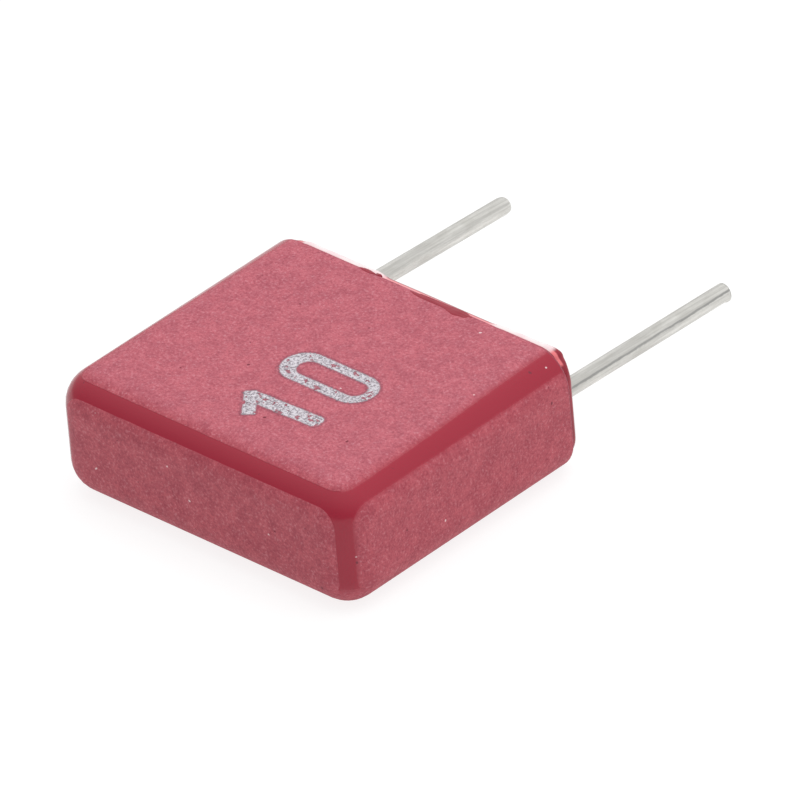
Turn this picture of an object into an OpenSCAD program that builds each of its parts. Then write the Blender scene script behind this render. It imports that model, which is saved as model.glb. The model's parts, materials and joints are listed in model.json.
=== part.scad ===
// Box film capacitor with two radial leads.
// A flattened roll of metallised film sits in a moulded cup, and epoxy resin closes the cup's mouth.
// The part lies on one broad face: X runs along the lead pitch, +Y is the way the leads leave,
// and +Z is up. The origin is on the base, under the middle of the whole part, leads included.

/* [Case] */
// Length of the moulded case, along the lead pitch
case_length = 10.3; // [9.6:0.1:13]
// Depth of the moulded case, from its closed end to its rim
case_depth = 8.5; // [7.5:0.1:12]
// Thickness of the moulded case, between its broad faces
case_thickness = 3.6; // [3.4:0.1:6]
// Wall of the moulded case
case_wall = 0.6; // [0.4:0.05:0.75]
// Outside radius of the case's long edges, closed end and corners
case_radius = 1.0; // [0.8:0.05:1.3]
// Radius on the outer edge of the rim
rim_radius = 0.12; // [0.05:0.01:0.2]

/* [Resin] */
// How far the resin stands proud of the rim
crown_height = 0.24; // [0.24:0.01:0.4]
// Bare flat of the rim left outside the resin
crown_setback = 0.04; // [0.02:0.01:0.1]
// Radius on the edge of the resin
crown_radius = 0.12; // [0.05:0.01:0.12]
// Hollow radius of the resin that creeps up each lead
creep_radius = 0.18; // [0.1:0.02:0.24]
// Blunt edge that the creeping resin is left with, on the lead and on the crown
creep_edge = 0.02; // [0.01:0.01:0.04]

/* [Film roll] */
// Resin between the roll and the case, at the broad faces and the closed end
roll_gap = 0.25; // [0.1:0.05:0.4]
// Depth of resin between the roll and the rim
roll_cover = 1.3; // [0.8:0.1:2]
// Length of the flat slot that the winding mandrel leaves in the roll
slot_length = 3.6; // [2:0.1:4]
// Height of that slot once the roll is pressed flat
slot_height = 0.16; // [0.08:0.02:0.3]

/* [Contact layers] */
// Thickness of the metal sprayed on each end of the roll
layer_thickness = 0.4; // [0.3:0.05:0.6]
// How far the sprayed metal stands out past the edge of the roll
layer_lap = 0.06; // [0.02:0.01:0.08]

/* [Leads] */
// Diameter of the lead wire
lead_diameter = 0.5; // [0.4:0.05:0.6]
// Distance between the leads' centre lines
lead_pitch = 7.5; // [6.8:0.1:7.9]
// Length of the left lead outside the rim
left_length = 7.15; // [3:0.05:25]
// Length of the right lead outside the rim
right_length = 7.3; // [3:0.05:25]
// Height of the leads' centre lines above the base, as far as the bend
lead_height = 1.43; // [1.4:0.01:1.9]
// How far beyond the resin each lead has its slight bend
bend_height = 0.3; // [0.25:0.05:1]
// How much wider than the wire the knuckle of that bend is
knuckle_swell = 0.01; // [0.006:0.002:0.03]
// Angle by which the left lead leans towards the base, past its bend
left_lean = 2.6; // [0:0.05:3]
// Angle by which the right lead leans towards the base, past its bend
right_lean = 1.95; // [0:0.05:3]
// How deep each lead is pressed into its contact layer
weld_depth = 0.08; // [0.02:0.01:0.15]
// Length of each lead that is welded to its contact layer
weld_length = 4.4; // [2.5:0.1:5]
// Bevel round the cut end of each lead
tip_bevel = 0.05; // [0.01:0.01:0.1]

/* [Hidden] */
$fn = 64;

case_red = [0.72, 0.22, 0.29];
resin_red = [0.55, 0.10, 0.15];
film_silver = [0.80, 0.80, 0.78];
zinc_grey = [0.58, 0.60, 0.62];
tin = [0.86, 0.86, 0.84];

// Which way each side of the part lies along X
left = -1;
right = 1;

// Cutters run past the faces that they open by this much
overcut = 1;

// How far a lead reaches outside the rim, with what its cut end gains as it leans
function reach_of(length, lean) = length + (lead_diameter / 2 - tip_bevel) * sin(lean);

// The closed end and the tip that reaches furthest lie equally far from the origin
lead_reach = max(reach_of(left_length, left_lean), reach_of(right_length, right_lean));
back_y = -(case_depth + lead_reach) / 2;
rim_y = back_y + case_depth;

// The room inside the case
cavity_length = case_length - 2 * case_wall;
cavity_thickness = case_thickness - 2 * case_wall;
cavity_depth = case_depth - case_wall;
cavity_radius = case_radius - case_wall;

// The resin's crown sits on the flat of the rim, and the fill below runs up into it
crown_inset = rim_radius + crown_setback;
fill_depth = cavity_depth + crown_height / 2;

// The roll fills the cavity but for its gaps, and the leads set how wide its film is
roll_thickness = cavity_thickness - 2 * roll_gap;
roll_depth = cavity_depth - roll_gap - roll_cover;
roll_y = rim_y - roll_cover - roll_depth / 2;
roll_z = case_thickness / 2;
layer_face_x = lead_pitch / 2 - lead_diameter / 2 + weld_depth;
film_width = 2 * (layer_face_x - layer_thickness);

// Each lead runs straight from the far end of its weld to its bend
lead_exit = crown_height + bend_height;
lead_straight = weld_length + roll_cover + lead_exit;

// Halfway from the middle of the knuckle to where its ball comes out of the wire
knuckle_start = sqrt(pow(lead_diameter + knuckle_swell, 2) - pow(lead_diameter, 2)) / 4;

// A block on z = 0 that runs from y = 0 to its depth. Its long edges along Y, the edges of its
// end at y = 0 and its two by two corners there have one radius, and its other end is flat.
module rounded_block(length, depth, thickness, radius) {
    corner_x = length / 2 - radius;
    barrel = depth - radius;
    translate([-corner_x, radius, 0])
        cube([2 * corner_x, barrel, thickness]);
    translate([-length / 2, radius, radius])
        cube([length, barrel, thickness - 2 * radius]);
    translate([-corner_x, 0, radius])
        cube([2 * corner_x, depth, thickness - 2 * radius]);
    for (x = [-corner_x, corner_x])
        translate([x, radius, radius])
            cylinder(r = radius, h = thickness - 2 * radius);
    for (z = [radius, thickness - radius]) {
        translate([-corner_x, radius, z])
            rotate([0, 90, 0]) cylinder(r = radius, h = 2 * corner_x);
        for (x = [-corner_x, corner_x])
            translate([x, radius, z]) {
                sphere(r = radius);
                rotate([-90, 0, 0]) cylinder(r = radius, h = barrel);
            }
    }
}

// A strip centred on the origin with half-round ends
module stadium(length, width) {
    straight = length - width;
    square([straight, width], center = true);
    for (x = [-straight / 2, straight / 2])
        translate([x, 0]) circle(d = width);
}

// A rectangle that stands on the X axis, centred, with its two upper corners rounded
module shouldered_outline(width, height, edge) {
    translate([-width / 2, 0]) square([width, height - edge]);
    translate([-width / 2 + edge, 0]) square([width - 2 * edge, height]);
    for (x = [edge - width / 2, width / 2 - edge])
        translate([x, height - edge]) circle(r = edge);
}

// The half of a shouldered outline that a lathe would turn
module turning_outline(radius, height, edge) {
    intersection() {
        shouldered_outline(2 * radius, height, edge);
        square([radius, height]);
    }
}

// A plate that rises along +Y from y = 0, centred in X and Z. Its outline has round corners, and
// the edge round its upper face has a radius of its own.
module soft_plate(length, thickness, height, corner, edge) {
    corner_x = length / 2 - corner;
    corner_z = thickness / 2 - corner;
    rotate([-90, 0, 0]) {
        translate([0, corner_z, 0])
            rotate([90, 0, 0]) linear_extrude(2 * corner_z)
                shouldered_outline(length, height, edge);
        translate([-corner_x, 0, 0])
            rotate([90, 0, 90]) linear_extrude(2 * corner_x)
                shouldered_outline(thickness, height, edge);
        for (x = [-corner_x, corner_x], z = [-corner_z, corner_z])
            translate([x, z, 0]) rotate_extrude() turning_outline(corner, height, edge);
    }
}

// The moulded cup, open at the rim
module case() {
    color(case_red)
    translate([0, back_y, 0])
    difference() {
        union() {
            rounded_block(case_length, case_depth - rim_radius, case_thickness, case_radius);
            translate([0, case_depth - 2 * rim_radius, case_thickness / 2])
                soft_plate(case_length, case_thickness, 2 * rim_radius, case_radius, rim_radius);
        }
        translate([0, case_wall, case_wall])
            rounded_block(cavity_length, cavity_depth + overcut, cavity_thickness, cavity_radius);
    }
}

// Epoxy resin that fills the cup round the roll and stands proud of the rim as a low crown
module potting_resin() {
    color(resin_red)
    difference() {
        union() {
            translate([0, back_y + case_wall, case_wall])
                rounded_block(cavity_length, fill_depth, cavity_thickness, cavity_radius);
            translate([0, rim_y, case_thickness / 2])
                soft_plate(case_length - 2 * crown_inset, case_thickness - 2 * crown_inset,
                           crown_height, case_radius - crown_inset, crown_radius);
            for (side = [left, right]) resin_creep(side);
        }
        roll_body();
        for (side = [left, right]) {
            layer_body(side);
            lead_body(side);
        }
    }
}

// Resin drawn up round a lead in a hollow curve, from inside the crown
module resin_creep(side) {
    reach = lead_diameter / 2 + creep_radius;
    translate([side * lead_pitch / 2, rim_y + crown_height, lead_height])
        rotate([-90, 0, 0]) rotate_extrude() difference() {
            translate([0, -crown_height / 2]) square([reach, crown_height / 2 + creep_radius]);
            translate([reach, creep_radius]) circle(r = creep_radius - creep_edge);
        }
}

// The pressed roll's outside, with its ends left square
module roll_body() {
    translate([-film_width / 2, roll_y, roll_z])
        rotate([90, 0, 90]) linear_extrude(film_width) stadium(roll_depth, roll_thickness);
}

// The two films wound together, with the flat slot of the mandrel at the middle
module film_roll() {
    color(film_silver)
    difference() {
        roll_body();
        translate([-film_width / 2 - overcut, roll_y, roll_z])
            rotate([90, 0, 90])
                linear_extrude(film_width + 2 * overcut) stadium(slot_length, slot_height);
    }
}

// Sprayed metal over one end of the roll
module layer_body(side) {
    inner_x = side == right ? film_width / 2 : -layer_face_x;
    translate([inner_x, roll_y, roll_z])
        rotate([90, 0, 90]) linear_extrude(layer_thickness)
            stadium(roll_depth + 2 * layer_lap, roll_thickness + 2 * layer_lap);
}

// A contact layer, with the groove where its lead is pressed in and welded
module contact_layer(side) {
    color(zinc_grey)
    difference() {
        layer_body(side);
        lead_body(side);
    }
}

// A lead from the end of its weld, through its bend, to its bevelled tip
module lead_body(side) {
    length = side == left ? left_length : right_length;
    lean = side == left ? left_lean : right_lean;
    radius = lead_diameter / 2;
    tip = (length - lead_exit) / cos(lean);
    translate([side * lead_pitch / 2, rim_y + lead_exit, lead_height]) {
        rotate([90, 0, 0]) translate([0, 0, knuckle_start])
            cylinder(r = radius, h = lead_straight - knuckle_start);
        sphere(d = lead_diameter + knuckle_swell);
        rotate([-90 - lean, 0, 0]) rotate_extrude()
            polygon([[0, knuckle_start], [radius, knuckle_start], [radius, tip - tip_bevel],
                     [radius - tip_bevel, tip], [0, tip]]);
    }
}

module lead(side) {
    color(tin) lead_body(side);
}

case();
potting_resin();
film_roll();
contact_layer(left);  // contact_layer_left
contact_layer(right);  // contact_layer_right
lead(left);  // lead_left
lead(right);  // lead_right
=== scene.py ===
# %% [markdown]
# # A box film capacitor, dressed for its picture
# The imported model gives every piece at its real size. This notebook gives each piece its finish,
# remakes the poured resin and the cut wires with the small faults of the real ones, and lights
# them. The frame is in metres: X runs along the pitch of the leads, +Y the way they leave, +Z up.

# %% The frame
import json
import math
import bmesh
import bpy
from mathutils import Matrix, Vector, noise


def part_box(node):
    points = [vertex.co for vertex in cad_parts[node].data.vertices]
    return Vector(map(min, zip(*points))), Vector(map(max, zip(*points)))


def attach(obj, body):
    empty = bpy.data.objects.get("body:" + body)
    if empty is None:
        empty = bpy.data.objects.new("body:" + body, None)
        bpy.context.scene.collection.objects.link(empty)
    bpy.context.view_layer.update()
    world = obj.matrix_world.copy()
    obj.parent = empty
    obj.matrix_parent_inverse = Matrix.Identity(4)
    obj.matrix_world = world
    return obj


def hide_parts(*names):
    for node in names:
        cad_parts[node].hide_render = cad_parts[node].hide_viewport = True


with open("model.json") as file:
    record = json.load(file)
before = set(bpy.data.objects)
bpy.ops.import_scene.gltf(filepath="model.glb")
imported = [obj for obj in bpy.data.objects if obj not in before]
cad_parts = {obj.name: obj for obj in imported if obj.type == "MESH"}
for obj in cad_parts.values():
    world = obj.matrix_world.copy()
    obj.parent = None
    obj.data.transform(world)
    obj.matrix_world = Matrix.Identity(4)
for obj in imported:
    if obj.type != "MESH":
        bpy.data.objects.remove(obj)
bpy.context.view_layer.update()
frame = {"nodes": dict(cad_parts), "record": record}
MM = 0.001

print("pieces in the frame:", sorted(frame["nodes"]))

# %% [markdown]
# The case is a moulded cup. Its box gives the places that everything else is measured from: the
# closed end, the rim where the resin stands, and the middle of its broad face. The finishes work
# in millimetres, so three of the places are kept that way too.

# %% Places on the case
case_low, case_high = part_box("case")
case_middle = (case_low + case_high) / 2
case_size = case_high - case_low
rim_y = case_high.y
top_z = case_high.z
case_radius = 1.0 * MM
top = top_z / MM
rim = rim_y / MM
middle_y = case_middle.y / MM

mounts = {mount["name"]: mount for mount in frame["record"]["mounts"]}
seat_y = mounts["seat"]["pos_m"][1]

print("case in mm:", [round(side / MM, 2) for side in case_size])
print("resin stands proud by", round((seat_y - rim_y) / MM, 2), "mm")

# %% [markdown]
# A long lens from far away shows a small part nearly without perspective, as a product picture
# does. The camera looks down on the broad face over one corner of the closed end, with the leads
# running away up the picture, and it is turned a few degrees about its own line of sight.

# %% Camera
view_azimuth = math.radians(45.394)
view_elevation = math.radians(33.026)
view_roll = math.radians(-5.074)
view_distance = 463.5 * MM
aim_right = 2.2362 * MM
aim_up = 0.6157 * MM
film_width = 36
focal_length = 817.9
nearest = 10 * MM
farthest = 10

back = Vector((math.sin(view_azimuth) * math.cos(view_elevation),
               -math.cos(view_azimuth) * math.cos(view_elevation),
               math.sin(view_elevation)))
turn = (-back).to_track_quat("-Z", "Y").to_matrix() @ Matrix.Rotation(view_roll, 3, "Z")
aim = case_middle + turn @ Vector((aim_right, aim_up, 0))

lens = bpy.data.cameras.new("camera")
lens.sensor_width = film_width
lens.lens = focal_length
lens.clip_start = nearest
lens.clip_end = farthest
camera = bpy.data.objects.new("camera", lens)
camera.matrix_world = Matrix.Translation(aim + back * view_distance) @ turn.to_4x4()
bpy.context.scene.collection.objects.link(camera)
bpy.context.scene.camera = camera

print("camera stands", round(view_distance / MM), "mm away")

# %% [markdown]
# Every finish here is drawn by nodes, so that it follows the piece from all sides. Adding a node
# and joining it up takes several lines each time. This small class keeps one material's nodes
# together and turns each of those steps into one short call that gives back an output.

# %% Short calls for a finish
class Finish:
    """One material, with calls that add nodes to it and hand back their outputs."""

    def __init__(self, name):
        self.material = bpy.data.materials.new(name)
        self.material.use_nodes = True
        self.tree = self.material.node_tree
        self.shader = self.tree.nodes["Principled BSDF"]

    def feed(self, socket, value):
        """Join an output to a socket, or set the socket to a number or a colour."""
        if isinstance(value, bpy.types.NodeSocket):
            self.tree.links.new(value, socket)
        elif isinstance(value, tuple) and len(socket.default_value) == 4:
            socket.default_value = (*value, 1)
        else:
            socket.default_value = value

    def calc(self, operation, *values):
        """A number from one or more numbers."""
        node = self.tree.nodes.new("ShaderNodeMath")
        node.operation = operation
        for socket, value in zip(node.inputs, values):
            self.feed(socket, value)
        return node.outputs[0]

    def move(self, operation, *values):
        """A vector from one or more vectors."""
        node = self.tree.nodes.new("ShaderNodeVectorMath")
        node.operation = operation
        for socket, value in zip(node.inputs, values):
            self.feed(socket, value)
        return node.outputs["Vector"]

    def measure(self, operation, *values):
        """A number, such as a length or a dot product, from one or two vectors."""
        node = self.tree.nodes.new("ShaderNodeVectorMath")
        node.operation = operation
        for socket, value in zip(node.inputs, values):
            self.feed(socket, value)
        return node.outputs["Value"]

    def stretch(self, vector, factor):
        """A vector times a number."""
        node = self.tree.nodes.new("ShaderNodeVectorMath")
        node.operation = "SCALE"
        self.feed(node.inputs[0], vector)
        node.inputs["Scale"].default_value = factor
        return node.outputs["Vector"]

    def parts(self, vector):
        """The x, y and z of a vector."""
        node = self.tree.nodes.new("ShaderNodeSeparateXYZ")
        self.feed(node.inputs[0], vector)
        return node.outputs["X"], node.outputs["Y"], node.outputs["Z"]

    def place(self):
        """The point on the piece, in millimetres."""
        node = self.tree.nodes.new("ShaderNodeTexCoord")
        return self.stretch(node.outputs["Object"], 1 / MM)

    def cloud(self, where, scale, detail=2.0, rough=0.5):
        """Soft noise from 0 to 1, with about this many lumps to a millimetre."""
        node = self.tree.nodes.new("ShaderNodeTexNoise")
        self.feed(node.inputs["Vector"], where)
        node.inputs["Scale"].default_value = scale
        node.inputs["Detail"].default_value = detail
        node.inputs["Roughness"].default_value = rough
        return node.outputs["Fac"]

    def ramp(self, value, low, high, start=0.0, end=1.0):
        """A smooth step from start to end, as the value goes from low to high."""
        node = self.tree.nodes.new("ShaderNodeMapRange")
        node.interpolation_type = "SMOOTHSTEP"
        for name, setting in (("Value", value), ("From Min", low), ("From Max", high),
                              ("To Min", start), ("To Max", end)):
            self.feed(node.inputs[name], setting)
        return node.outputs[0]

    def blend(self, share, colour, other):
        """A colour that turns from one to the other as the share goes from 0 to 1."""
        node = self.tree.nodes.new("ShaderNodeMix")
        node.data_type = "RGBA"
        self.feed(node.inputs["Factor"], share)
        self.feed(node.inputs[6], colour)
        self.feed(node.inputs[7], other)
        return node.outputs[2]

    def relief(self, height, depth, below=None):
        """A surface that rises by this depth, in millimetres, where the height is 1."""
        node = self.tree.nodes.new("ShaderNodeBump")
        node.inputs["Distance"].default_value = depth * MM
        self.feed(node.inputs["Height"], height)
        if below is not None:
            self.feed(node.inputs["Normal"], below)
        return node.outputs["Normal"]

    def set(self, **values):
        """Set the shader's own sockets, with spaces in their names written as underscores."""
        for name, value in values.items():
            self.feed(self.shader.inputs[name.replace("_", " ")], value)


def put_on(finish, *names):
    """Give CAD pieces this finish in every material slot they have."""
    for name in names:
        slots = frame["nodes"][name].material_slots
        for slot in slots:
            slot.material = finish.material
        if not slots:
            frame["nodes"][name].data.materials.append(finish.material)


print("finishes are drawn by", Finish.__name__)

# %% [markdown]
# The case is moulded in two finishes at once. The mould's flats were spark-eroded, which leaves
# fine grain and a chalky red, painted paler: partly the grain's own tone and partly a painted sheen
# of the white surroundings on the rough skin. The rounded edges were cut with a polished tool and
# come out glossy and much darker. The radii round the face that the part lies on are grained as well.
# A painted mask would slide off the corners, so the finish works out which way the rounded block
# faces from the point's place alone: the point is measured from the block's core, and the surface
# is grained where that direction lies close to one of the axes. The polish runs out softly over the
# short sides and reaches further onto the broad face towards the rim.

# %% The case's grain and gloss
polish_angle = 30.5
polish_widening = 0.085
polish_wander = 0.012
crisp_edge = 0.008
soft_edge = 0.043


def facing_of_case(skin, spot):
    """How far the case turns towards each axis, from 0 to 1, with 1 the flat itself."""
    reach = 50.0   # puts the block's far end well past the rim, which has no such rounding
    radius = case_radius / MM
    middle = (0, case_low.y / MM + reach, case_middle.z / MM)
    core = (case_size.x / MM / 2 - radius, reach - radius, case_size.z / MM / 2 - radius)
    offset = skin.move("ABSOLUTE", skin.move("SUBTRACT", spot, middle))
    beyond = skin.move("SUBTRACT", offset, core)
    beyond = skin.move("MAXIMUM", beyond, (0, 0, 0))
    return skin.parts(skin.move("NORMALIZE", beyond))


def grain_share(skin, spot):
    """1 on the grained flats and 0 on the polished radii."""
    across, along, up = facing_of_case(skin, spot)
    most = skin.calc("MAXIMUM", skin.calc("MAXIMUM", across, along), up)
    limit = math.cos(math.radians(polish_angle))
    wander = skin.calc("MULTIPLY", skin.calc("SUBTRACT", skin.cloud(spot, 2.5), 0.5), polish_wander)
    sideways = skin.calc("GREATER_THAN", across, along)
    softness = skin.calc("MULTIPLY", sideways, soft_edge - crisp_edge)
    softness = skin.calc("ADD", softness, crisp_edge)
    closed_end = (case_low.y + case_radius) / MM
    widening = skin.ramp(skin.parts(spot)[1], closed_end, rim, 0, polish_widening)
    widening = skin.calc("MULTIPLY", widening, skin.calc("GREATER_THAN", up, across))
    limit = skin.calc("ADD", limit, skin.calc("MULTIPLY", widening, skin.ramp(across, 0.05, 0.25)))
    low = skin.calc("SUBTRACT", limit, softness)
    high = skin.calc("ADD", limit, softness)
    flats = skin.ramp(skin.calc("ADD", most, wander), low, high)
    beneath = skin.calc("LESS_THAN", skin.parts(spot)[2], case_middle.z / MM)
    lower = skin.calc("MULTIPLY", skin.ramp(up, 0.1, 0.5), beneath)
    return skin.calc("MAXIMUM", flats, lower)


print("grain gives way to gloss", polish_angle, "degrees from each flat")

# %% [markdown]
# The figures are printed in silver ink with a worn stamp. Each is a few strokes, and a stroke is
# a rounded bar: the distance to the bar's edge says whether a point is inked. The nought is a wide
# bar with a smaller one taken out, and the one is a stem and a flag with a small notch in its side.

# %% The printed figures
def bar(skin, spot, middle, half_length, half_width, angle=0.0, rounding=None):
    """Distance to the edge of a bar with rounded corners along X, turned by an angle."""
    if rounding is None:
        rounding = half_width
    turned = skin.tree.nodes.new("ShaderNodeVectorRotate")
    turned.rotation_type = "Z_AXIS"
    skin.feed(turned.inputs["Vector"], spot)
    turned.inputs["Center"].default_value = middle
    turned.inputs["Angle"].default_value = math.radians(-angle)
    offset = skin.move("ABSOLUTE", skin.move("SUBTRACT", turned.outputs[0], middle))
    any_height = 9
    core = (half_length - rounding, half_width - rounding, any_height)
    past = skin.move("MAXIMUM", skin.move("SUBTRACT", offset, core), (0, 0, 0))
    return skin.calc("SUBTRACT", skin.measure("LENGTH", past), rounding)


def cut_out(skin, shape, hole):
    """The distance to a shape that has another taken out of it."""
    return skin.calc("MAXIMUM", shape, skin.calc("MULTIPLY", hole, -1))


def figures(skin, spot):
    """Distance to the edge of the printed one and nought, in millimetres."""
    stem = bar(skin, spot, (0.90, middle_y - 1.83, top), half_length=1.25, half_width=0.25,
               angle=2.5, rounding=0.19)
    flag = bar(skin, spot, (0.0, middle_y - 2.14, top), half_length=0.56, half_width=0.19,
               angle=-51, rounding=0.05)
    notch = bar(skin, spot, (-0.2, middle_y - 2.28, top), half_length=0.13, half_width=0.08,
                angle=40)
    one = cut_out(skin, skin.calc("MINIMUM", stem, flag), notch)
    outer = bar(skin, spot, (0.87, middle_y - 0.09, top), half_length=1.53, half_width=0.66)
    hole = bar(skin, spot, (0.96, middle_y - 0.086, top), half_length=1.12, half_width=0.31)
    return skin.calc("MINIMUM", one, cut_out(skin, outer, hole))


print("figures: a one and a nought")

# %% [markdown]
# Three things make up the case's colour, with painted light laid over them. The chalky grain is
# mottled, with fine dark and light grains and a few larger specks; it is painted paler, partly for
# its own tone and partly as a painted sheen, a painted sheen makes the broad face a little paler
# still, and the light grains are partly painted glints. The polished radii are one deep red.
# Painted shade darkens the case just before the rim. The silver ink lies over both: noise on the
# distance to a figure's edge makes that edge ragged, another noise leaves spots that the ink
# missed, and a painted shadow line runs round the ink.

# %% Case finish
polished = (0.37, 0.010, 0.034)
# The chalky colours are partly the grain's own tone and partly a painted sheen of the white
# surroundings.
chalky_dark_and_sheen = (0.435, 0.058, 0.087)
chalky_light_and_sheen = (0.555, 0.094, 0.125)
painted_sheen_white = (1.0, 0.80, 1.0)
dark_grain = (0.24, 0.015, 0.04)
light_grain_and_glint = (0.80, 0.42, 0.48)
dark_speck = (0.2, 0.012, 0.03)
light_speck = (0.85, 0.6, 0.62)
painted_rim_shade = (0.20, 0.012, 0.045)
ink_dark = (0.20, 0.16, 0.19)
ink_light = (0.74, 0.70, 0.75)
ink_shadow_line = (0.16, 0.03, 0.06)


def bare_plastic(skin, spot, grain, speckle):
    """The case's colour without its print, with its painted sheen, glints and shade."""
    _, along, height = skin.parts(spot)
    mottle = skin.ramp(skin.cloud(spot, 2.6, 5, 0.7), 0.32, 0.68)
    chalky_and_sheen = skin.blend(mottle, chalky_dark_and_sheen, chalky_light_and_sheen)
    # Painted sheen: the broad face is blended a little towards white for the light it catches from
    # overhead.
    chalky_and_sheen = skin.blend(skin.ramp(height, top - 0.14, top, 0, 0.05), chalky_and_sheen, painted_sheen_white)
    chalky_and_sheen = skin.blend(skin.ramp(speckle, 0.36, 0.5, 0.42, 0), chalky_and_sheen, dark_grain)
    # The light grains are partly the grain's own tone and partly painted glints of the textured skin.
    chalky_and_sheen = skin.blend(skin.ramp(speckle, 0.52, 0.68, 0, 0.3), chalky_and_sheen, light_grain_and_glint)
    colour = skin.blend(grain, polished, chalky_and_sheen)
    # Painted shade: the case darkens just before the rim, where its rounded edge turns from the
    # light.
    colour = skin.blend(skin.ramp(along, rim - 0.13, rim - 0.06, 0, 0.5), colour, painted_rim_shade)
    specks = skin.cloud(spot, 4.5, 1, 0.3)
    colour = skin.blend(skin.ramp(specks, 0.80, 0.83), colour, light_speck)
    return skin.blend(skin.ramp(specks, 0.18, 0.21, 1, 0), colour, dark_speck)


def ink_shares(skin, spot):
    """How much of a point is inked, and how much it is in the painted shadow line round the ink."""
    on_top = skin.calc("GREATER_THAN", skin.parts(spot)[2], top - 0.05)
    wobble = skin.calc("SUBTRACT", skin.cloud(spot, 13, 3, 0.8), 0.5)
    edge = skin.calc("ADD", figures(skin, spot), skin.calc("MULTIPLY", wobble, 0.2))
    missed = skin.calc("ADD", skin.cloud(spot, 4.5, 2, 0.6), skin.ramp(edge, -0.12, 0, 0, -0.06))
    inked = skin.calc("MULTIPLY", skin.ramp(edge, -0.03, 0.01, 1, 0), on_top)
    inked = skin.calc("MULTIPLY", inked, skin.ramp(missed, 0.585, 0.625, 1, 0.12))
    # Painted shadow: a thin dark line all round the ink stands for the shade that the raised ink
    # casts.
    ink_shadowed = skin.calc("MULTIPLY", skin.ramp(edge, 0.03, 0.09, 0.4, 0), on_top)
    return inked, ink_shadowed


def case_plastic():
    """Grained and polished plastic, with the figures printed on it."""
    skin = Finish("case_plastic")
    spot = skin.place()
    grain = grain_share(skin, spot)
    speckle = skin.cloud(spot, 13, 3, 0.8)
    inked, ink_shadowed = ink_shares(skin, spot)
    colour = skin.blend(ink_shadowed, bare_plastic(skin, spot, grain, speckle), ink_shadow_line)
    grit = skin.ramp(skin.cloud(spot, 13, 4, 0.9), 0.40, 0.56)
    colour = skin.blend(inked, colour, skin.blend(grit, ink_dark, ink_light))

    bumps = skin.relief(skin.calc("MULTIPLY", speckle, grain), 0.02)
    bumps = skin.relief(skin.cloud(spot, 0.7, 2, 0.5), 0.02, bumps)
    bumps = skin.relief(inked, 0.012, bumps)
    skin.set(Base_Color=colour, Roughness=skin.ramp(grain, 0, 1, 0.2, 0.6), Normal=bumps)
    return skin


plastic = case_plastic()
put_on(plastic, "case")

print("case in", plastic.material.name)

# %% [markdown]
# The resin was poured in warm and stands proud of the rim. Its skin is smooth and glossy, with
# faint waves from its slow setting. Where it thins to a feather edge along the broad wall it is
# painted pale, partly for the thin resin's own paleness and partly as a painted highlight of the
# white surroundings, with a greyer line at its outer edge. At the corner it is painted a lit salmon
# red, which is painted light. Masks on the point's height and on how far it stands out from the rim
# pick these places out.

# %% Resin finish
resin_dark = (0.30, 0.012, 0.030)
resin_light = (0.38, 0.020, 0.045)
lit_resin = (0.95, 0.22, 0.24)
feather_pink_and_highlight = (0.93, 0.74, 0.76)
feather_white_and_highlight = (0.97, 0.88, 0.88)
feather_line = (0.62, 0.42, 0.46)


def poured_resin():
    """Glossy red resin, painted pale with a painted highlight where it thins out along the broad
    wall.
    """
    skin = Finish("poured_resin")
    spot = skin.place()
    _, along, up = skin.parts(spot)
    shade = skin.cloud(spot, 1.2, 3, 0.5)
    proud = skin.calc("SUBTRACT", along, rim)
    colour = skin.blend(skin.ramp(shade, 0.3, 0.7), resin_dark, resin_light)

    foot = skin.calc("MULTIPLY", skin.ramp(proud, 0.01, 0.03), skin.ramp(proud, 0.11, 0.17, 1, 0))
    lit = skin.calc("MULTIPLY", foot, skin.ramp(up, top - 0.5, top - 0.42))
    colour = skin.blend(lit, colour, lit_resin)

    # Painted highlight: the feather edge is pale partly for its thin resin and partly for the white
    # it reflects.
    feather_and_highlight = skin.calc("MULTIPLY", skin.ramp(up, top - 0.17, top - 0.11),
                        skin.ramp(proud, 0.01, 0.04))
    pale_and_highlight = skin.blend(skin.ramp(shade, 0.4, 0.6), feather_pink_and_highlight, feather_white_and_highlight)
    line = skin.calc("MULTIPLY", skin.ramp(proud, 0.19, 0.22), skin.ramp(shade, 0.42, 0.55))
    colour = skin.blend(feather_and_highlight, colour, skin.blend(line, pale_and_highlight, feather_line))

    waves = skin.relief(skin.cloud(spot, 1.1, 2, 0.5), 0.03)
    skin.set(Base_Color=colour, Roughness=0.12, Normal=waves)
    return skin


epoxy = poured_resin()
put_on(epoxy, "potting_resin")

print("resin in", epoxy.material.name)

# %% [markdown]
# As the resin set, it kept the marks of the pour. Along the ends of the broad wall it comes close
# to the case's face, while between the leads it stays further inside, and one corner carries a
# fuller bead. The plain solid has an even crown, so this skin goes over it. It could be sculpted
# by hand, but a grid whose points are moved by a few named rules keeps its smooth, closed surface
# and can be tuned: the points crowd towards the edge, where the skin turns down quickly.

# %% The crown's rules
skin_height = seat_y - rim_y + 0.012 * MM
skin_edge = 0.14 * MM
half_length = case_size.x / 2
half_depth = case_size.z / 2
wide_setback = 0.15 * MM
near_setback = 0.08 * MM
wave_height = 0.008 * MM
waves_per_metre = 900
bead_height = 0.1 * MM
bead_reach = 0.38 * MM
bead_inset = Vector((0.55, 0.3)) * MM
wall_foot = rim_y - 0.07 * MM
crown_columns = 150
crown_rows = 70


def smooth_step(value, low, high):
    """0 at low and 1 at high, with a soft start and end."""
    share = min(max((value - low) / (high - low), 0), 1)
    return share * share * (3 - 2 * share)


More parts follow.
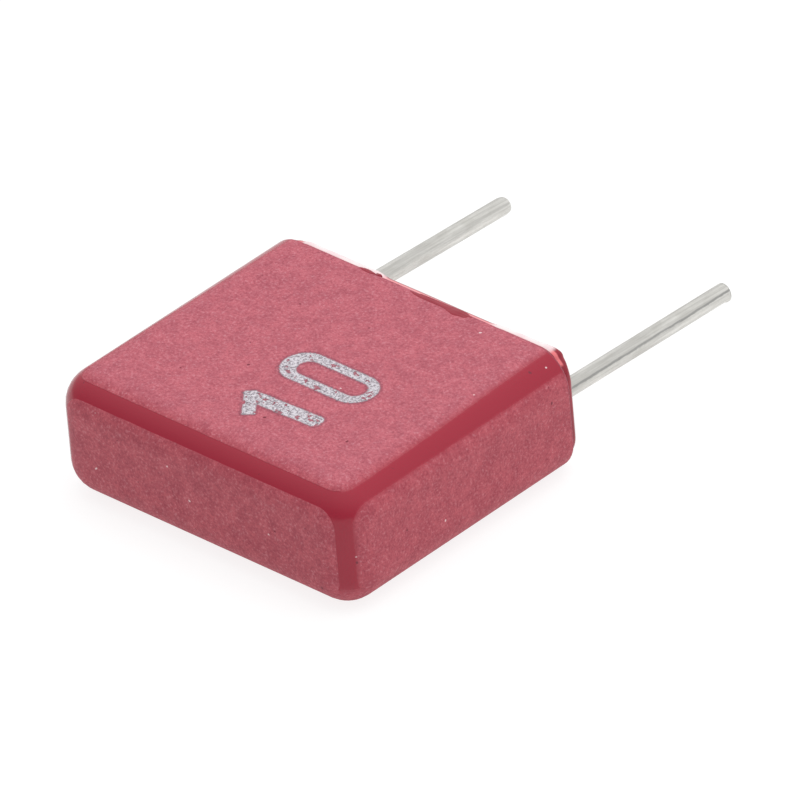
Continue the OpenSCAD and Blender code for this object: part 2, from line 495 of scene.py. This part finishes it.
def setback(x, z):
    """How far inside the case's face the resin's edge stays: it comes close in two stretches."""
    left_stretch = smooth_step(x, -4.4 * MM, -4.0 * MM) * smooth_step(x, -1.2 * MM, -1.7 * MM)
    right_stretch = smooth_step(x, 2.3 * MM, 2.9 * MM) * smooth_step(x, 5.0 * MM, 4.7 * MM)
    close = max(left_stretch, right_stretch) * smooth_step(z, 0.7 * MM, 1.0 * MM)
    return wide_setback + (near_setback - wide_setback) * close


def rise(x, z):
    """How much higher the resin stands than its plain crown: slow waves and one fuller bead."""
    waves = wave_height * (1 + noise.noise(Vector((x, z, 0)) * waves_per_metre))
    from_bead = Vector((x, z)) - (Vector((half_length, half_depth)) - bead_inset)
    return waves + bead_height * math.exp(-(from_bead.length / bead_reach) ** 2)


print("crown stands", round(skin_height / MM, 3), "mm proud at its lowest")

# %% Crown
def to_outline(point):
    """A point of the plain square, moved onto the rounded plate, and its distance to the edge."""
    x = math.sin(point.x * math.pi / 2) * half_length
    z = math.sin(point.y * math.pi / 2) * half_depth
    away = setback(x, z)
    x *= 1 - away / half_length
    z *= 1 - away / half_depth
    corner = case_radius - away
    over_x = abs(x) - (half_length - away - corner)
    over_z = abs(z) - (half_depth - away - corner)
    inside = corner - max(over_x, over_z)
    if over_x > 0 and over_z > 0:
        pull = 1 - max(over_x, over_z) / math.hypot(over_x, over_z)
        x -= math.copysign(over_x * pull, x)
        z -= math.copysign(over_z * pull, z)
    return x, z, max(inside, 0)


def crown(shape):
    """A domed skin with a rolled edge, closed by a wall that goes down past the rim's radius."""
    bmesh.ops.create_grid(shape, x_segments=crown_columns, y_segments=crown_rows, size=1)
    for vert in shape.verts:
        x, z, inside = to_outline(vert.co)
        rolled = max(skin_edge - inside, 0)
        drop = skin_edge - math.sqrt(skin_edge ** 2 - rolled ** 2)
        vert.co = (x, rim_y + skin_height + rise(x, z) - drop, case_middle.z + z)
    open_edges = [edge for edge in shape.edges if edge.is_boundary]
    wall = bmesh.ops.extrude_edge_only(shape, edges=open_edges)["geom"]
    for vert in [item for item in wall if isinstance(item, bmesh.types.BMVert)]:
        vert.co.y = wall_foot
    bmesh.ops.edgeloop_fill(shape, edges=[edge for edge in shape.edges if edge.is_boundary])


def finished(name, shape, finish, slot, *stands_for):
    """Turn a bmesh into a piece that rides on the part, in its finish."""
    bmesh.ops.recalc_face_normals(shape, faces=shape.faces)
    body = bpy.data.meshes.new(name)
    for face in shape.faces:
        face.smooth = True
    shape.to_mesh(body)
    shape.free()
    body.materials.append(finish.material)
    piece = bpy.data.objects.new(name, body)
    bpy.context.scene.collection.objects.link(piece)
    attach(piece, "root")
    if stands_for:
        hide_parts(*stands_for)
    return piece


shape = bmesh.new()
crown(shape)
skin_piece = finished("resin_skin", shape, epoxy, "epoxy")

print("crown has", len(skin_piece.data.polygons), "faces")

# %% [markdown]
# A little resin ran over the broad wall before it set. It lies there as a long flat lens with a
# fuller pool in it, and two small drops lie beside the left lead. Each starts as a ball of
# triangles and is flattened, with noise on its outline, because a run of resin is never an even
# shape. Each is given by its middle, from the top of the rim, and its reach each way.

# %% Runs of resin
runs = {
    "long run": ((0.95, -0.13, -0.008), (1.15, 0.1, 0.02)),
    "pool in the run": ((1.4, -0.16, -0.008), (0.45, 0.15, 0.022)),
    "left drop": ((-1.75, -0.07, -0.015), (0.3, 0.07, 0.03)),
    "small drop": ((-1.4, -0.03, -0.03), (0.12, 0.06, 0.04)),
}


unevenness = 0.22
lumps_across = 1.7


def lump(shape, place, reach, seed):
    """Add an uneven flattened ball, with its place and reach in millimetres."""
    ball = bmesh.ops.create_icosphere(shape, subdivisions=5, radius=1)["verts"]
    for vert in ball:
        wander = 1 + unevenness * noise.noise(vert.co * lumps_across + Vector((seed, 0, 0)))
        spot = Vector([step * size for step, size in zip(vert.co * wander, reach)])
        vert.co = (spot + Vector(place)) * MM + Vector((0, rim_y, top_z))


shape = bmesh.new()
for seed, (place, reach) in enumerate(runs.values()):
    lump(shape, place, reach, seed)
finished("resin_runs", shape, epoxy, "epoxy")

print("runs of resin:", ", ".join(runs))

# %% [markdown]
# The leads are copper-clad wire with a coat of tin. Drawing the wire through its die leaves fine
# lines along it, and the tin is satin, so it shows its white surroundings as a broad sheen. The
# lines have to follow the wire through its bend, so each wire carries its own record of where a
# point lay when the wire was straight, and the finish reads that instead of the point's place.
# The right wire has a darker track along it, where a guide rubbed the tin.

# %% Wire finish
tin_dark = (0.62, 0.61, 0.58)
tin_light = (0.86, 0.85, 0.81)
tin_dull = (0.54, 0.53, 0.49)
rubbed_tin = (0.25, 0.25, 0.25)
track_angle = math.radians(30)


def rubbed_track(skin, spot, patches):
    """The share of the rubbed track: a line along the wire, on its upper right side."""
    aside, _, above = skin.parts(spot)
    across = skin.calc("SUBTRACT", skin.calc("MULTIPLY", aside, math.sin(track_angle)),
                       skin.calc("MULTIPLY", above, math.cos(track_angle)))
    waver = skin.calc("MULTIPLY", skin.calc("SUBTRACT", patches, 0.5), 0.12)
    distance = skin.calc("ABSOLUTE", skin.calc("ADD", across, waver))
    on_right = skin.calc("GREATER_THAN", skin.parts(skin.place())[0], 0)
    return skin.calc("MULTIPLY", skin.ramp(distance, 0.01, 0.045, 0.6, 0), on_right)


def tinned_wire():
    """Satin tin with drawing lines, dull patches and the rubbed track."""
    skin = Finish("tinned_wire")
    straight = skin.tree.nodes.new("ShaderNodeAttribute")
    straight.attribute_name = "straight"
    spot = skin.stretch(straight.outputs["Vector"], 1 / MM)
    lines = skin.cloud(skin.move("MULTIPLY", spot, (12, 0.4, 12)), 1.0, 3, 0.6)
    patches = skin.cloud(skin.move("MULTIPLY", spot, (3, 1.3, 3)), 1.0, 4, 0.65)
    colour = skin.blend(skin.ramp(lines, 0.3, 0.7), tin_dark, tin_light)
    colour = skin.blend(skin.ramp(patches, 0.35, 0.65, 0.35, 0), colour, tin_dull)
    colour = skin.blend(rubbed_track(skin, spot, patches), colour, rubbed_tin)
    rough = skin.ramp(patches, 0.3, 0.7, 0.5, 0.36)
    relief = skin.relief(patches, 0.012, skin.relief(lines, 0.008))
    skin.set(Base_Color=colour, Metallic=1.0, Roughness=rough, Normal=relief)
    return skin


tin = tinned_wire()

print("tin in", tin.material.name)

# %% [markdown]
# Each wire runs straight out of its weld, bends a little just past the resin and leans towards the
# base. It is one round face that is drawn along that path a short step at a time, as the wire
# itself was drawn. The last steps shape the cut end: the cutter pinches one end nearly round and
# leaves the other square, with a burr on its lower side.

# %% Wires
wire_sides = 40
bend_reach = 0.2 * MM
bend_steps = 8
run_step = 0.25 * MM
cut_reach = 0.15 * MM


def wire_path(pin, start_y):
    """Centres along a wire, and the way it points at each, from its weld to its cut end."""
    lean = Vector(pin["axis"]).normalized()
    wall = pin["dims"]["length_mm"] * MM
    bend = Vector(pin["pos_m"]) - lean * wall / 2
    ahead = Vector((0, 1, 0))
    path = []
    straight = bend.y - bend_reach - start_y
    count = round(straight / run_step)
    for step in range(count):
        path.append((bend - ahead * (bend_reach + straight * (1 - step / count)), ahead))
    for step in range(bend_steps + 1):
        share = step / bend_steps
        turned = ahead.lerp(lean, share).normalized()
        before = bend - ahead * bend_reach
        after = bend + lean * bend_reach
        path.append((before.lerp(bend, share).lerp(bend.lerp(after, share), share), turned))
    leaning = wall - bend_reach - cut_reach
    count = round(leaning / run_step)
    for step in range(1, count + 1):
        path.append((bend + lean * (bend_reach + leaning * step / count), lean))
    return path


def ring_at(shape, verts, centre, way, radius, along, layer, squash=None):
    """Put a ring of points round a centre, square to the way that the wire points there."""
    side = Vector((1, 0, 0))
    up = side.cross(way)
    for index, vert in enumerate(verts):
        angle = math.tau * index / wire_sides
        out = side * math.cos(angle) + up * math.sin(angle)
        reach = radius * (squash(angle) if squash else 1)
        vert.co = centre + out * reach
        vert[layer] = (math.cos(angle) * radius, along, math.sin(angle) * radius)


def wire(name, side, ends):
    """One lead, drawn along its path; each end ring has a distance, a size and a shape."""
    pin = mounts["lead_pin_" + side]
    radius = pin["dims"]["r_mm"] * MM
    path = wire_path(pin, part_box(name)[0].y)
    shape = bmesh.new()
    layer = shape.verts.layers.float_vector.new("straight")
    verts = bmesh.ops.create_circle(shape, cap_ends=True, segments=wire_sides, radius=radius)["verts"]
    face = shape.faces[:][0]
    ring_at(shape, verts, *path[0], radius, 0, layer)
    along = 0
    for (before, _), (centre, way) in zip(path, path[1:]):
        along += (centre - before).length
        face = bmesh.ops.extrude_discrete_faces(shape, faces=[face])["faces"][0]
        ring_at(shape, face.verts, centre, way, radius, along, layer)
    last, way = path[-1]
    for beyond, size, squash in ends:
        face = bmesh.ops.extrude_discrete_faces(shape, faces=[face])["faces"][0]
        place = last + way * beyond * MM
        ring_at(shape, face.verts, place, way, radius * size, along + beyond * MM, layer, squash)
    return finished("wire_" + side, shape, tin, "tinned_wire", name)


def pinched(angle):
    """The cutter leaves one end a little flat across."""
    return 1 - 0.05 * math.sin(angle) ** 2


def burred(angle):
    """The cutter pushes the other end's metal out on its lower side."""
    return 1 + 0.12 * max(-math.sin(angle - 0.4), 0) ** 2


rounded_end = [(0.08, 0.99, pinched), (0.13, 0.95, pinched), (0.165, 0.86, pinched),
               (0.185, 0.72, pinched)]
square_end = [(0.04, 1.0, None), (0.12, 1.0, burred), (0.185, 1.0, burred), (0.195, 0.94, burred)]
wires = [wire("lead_left", "left", rounded_end), wire("lead_right", "right", square_end)]

print("wires:", [piece.name for piece in wires])

# %% [markdown]
# The roll and its contact layers are sealed in and only show when the part is cut open. The layers
# are sprayed metal, which is dull and gritty. The roll is metallised film, and noise that is
# squeezed along Z gives it thin lines. They suggest the turns, and their number isn't counted.

# %% Hidden finishes
def sprayed_metal():
    """Dull grey metal with a grit."""
    skin = Finish("sprayed_metal")
    spot = skin.place()
    grit = skin.cloud(spot, 9, 4, 0.7)
    colour = skin.blend(skin.ramp(grit, 0.35, 0.65), (0.22, 0.23, 0.24), (0.42, 0.43, 0.44))
    skin.set(Base_Color=colour, Metallic=0.8, Roughness=0.75, Normal=skin.relief(grit, 0.06))
    return skin


def metallised_film():
    """Bright film with thin lines that suggest its turns."""
    skin = Finish("metallised_film")
    spot = skin.place()
    turns = skin.cloud(skin.move("MULTIPLY", spot, (0.2, 1, 22)), 1.0, 2, 0.5)
    colour = skin.blend(skin.ramp(turns, 0.35, 0.65), (0.52, 0.52, 0.50), (0.70, 0.70, 0.68))
    skin.set(Base_Color=colour, Metallic=0.7, Roughness=0.3, Normal=skin.relief(turns, 0.01))
    return skin


put_on(sprayed_metal(), "contact_layer_left", "contact_layer_right")
put_on(metallised_film(), "film_roll")

print("finishes inside: sprayed metal and metallised film")

# %% [markdown]
# The part lies on a sheet of white acrylic that is lit a little from beneath, as on a maker's
# light table. Its glow reaches under the lower edges and keeps the shadow faint. What the camera
# sees of the sheet is lifted to white, which leaves only the shadow where the part meets it.

# %% Light table
table_width = 1.0


def acrylic():
    """White acrylic with a glow, which the camera sees as nearly white."""
    skin = Finish("acrylic")
    seen = skin.tree.nodes.new("ShaderNodeLightPath").outputs["Is Camera Ray"]
    skin.set(Base_Color=skin.blend(seen, (0.5, 0.5, 0.5), (0.22, 0.22, 0.22)), Roughness=0.9,
             Specular_IOR_Level=0.0, Emission_Color=(1, 1, 1),
             Emission_Strength=skin.ramp(seen, 0, 1, 0.45, 0.84))
    return skin


sheet = bmesh.new()
bmesh.ops.create_grid(sheet, x_segments=1, y_segments=1, size=table_width / 2)
mesh = bpy.data.meshes.new("light_table")
sheet.to_mesh(mesh)
sheet.free()
table = bpy.data.objects.new("light_table", mesh)
mesh.materials.append(acrylic().material)
bpy.context.scene.collection.objects.link(table)

print("light table", table_width, "m wide")

# %% [markdown]
# Over it stands a white tent. It is brightest overhead and behind and dimmest low down on the near
# side, where its opening is, so the closed end is darker than the broad face. Glossy surfaces see
# a more even white, as the cloth is close to them, and the camera sees plain white.

# %% Tent
bpy.context.scene.view_settings.view_transform = "Standard"
world = bpy.data.worlds.new("white_tent")
bpy.context.scene.world = world
world.use_nodes = True
room = world.node_tree
paths = room.nodes.new("ShaderNodeLightPath")


def choose(share, value, other):
    """A number that is the first value, or the other where the share is 1."""
    node = room.nodes.new("ShaderNodeMix")
    for socket, setting in zip((node.inputs[0], node.inputs[2], node.inputs[3]),
                               (share, value, other)):
        if isinstance(setting, bpy.types.NodeSocket):
            room.links.new(setting, socket)
        else:
            socket.default_value = setting
    return node.outputs[0]


def rising(value, low, high, start, end):
    """A number that goes from start to end as the value goes from low to high."""
    node = room.nodes.new("ShaderNodeMapRange")
    node.inputs["From Min"].default_value = low
    node.inputs["From Max"].default_value = high
    node.inputs["To Min"].default_value = start
    node.inputs["To Max"].default_value = end
    room.links.new(value, node.inputs["Value"])
    return node.outputs[0]


brightest_way = Vector((-0.03, 0.38, 0.92)).normalized()
glossy_white = 0.88
facing = room.nodes.new("ShaderNodeVectorMath")
facing.operation = "DOT_PRODUCT"
facing.inputs[1].default_value = brightest_way
room.links.new(room.nodes.new("ShaderNodeTexCoord").outputs["Generated"], facing.inputs[0])
cloth = rising(facing.outputs["Value"], -0.2, 1, 0.1, 1.2)
sheen = rising(facing.outputs["Value"], -0.05, 0.6, 0.45, glossy_white)
tent = choose(paths.outputs["Is Glossy Ray"], cloth, sheen)
tent = choose(paths.outputs["Is Transmission Ray"], tent, glossy_white)
tent = choose(paths.outputs["Is Camera Ray"], tent, 1.0)
room.links.new(tent, room.nodes["Background"].inputs["Strength"])
room.nodes["Background"].inputs["Color"].default_value = (1, 1, 1, 1)

print("tent is brightest towards", [round(step, 2) for step in brightest_way])

# %% [markdown]
# One soft lamp over the tent gives the broad face a little more than the tent alone does, and the
# shadow its direction. Glossy surfaces don't see it, because a tent's cloth hides its lamp.

# %% Soft lamp
lamp_width = 0.16
lamp_watts = 0.12
lamp_place = Vector((0.03, 0.03, 0.2))

glow = bpy.data.lights.new("softbox", "AREA")
glow.shape = "SQUARE"
glow.size = lamp_width
glow.energy = lamp_watts
softbox = bpy.data.objects.new("softbox", glow)
softbox.location = lamp_place
softbox.rotation_euler = (-lamp_place).to_track_quat("-Z", "Y").to_euler()
softbox.visible_glossy = False
bpy.context.scene.collection.objects.link(softbox)

print("softbox gives", lamp_watts, "W")
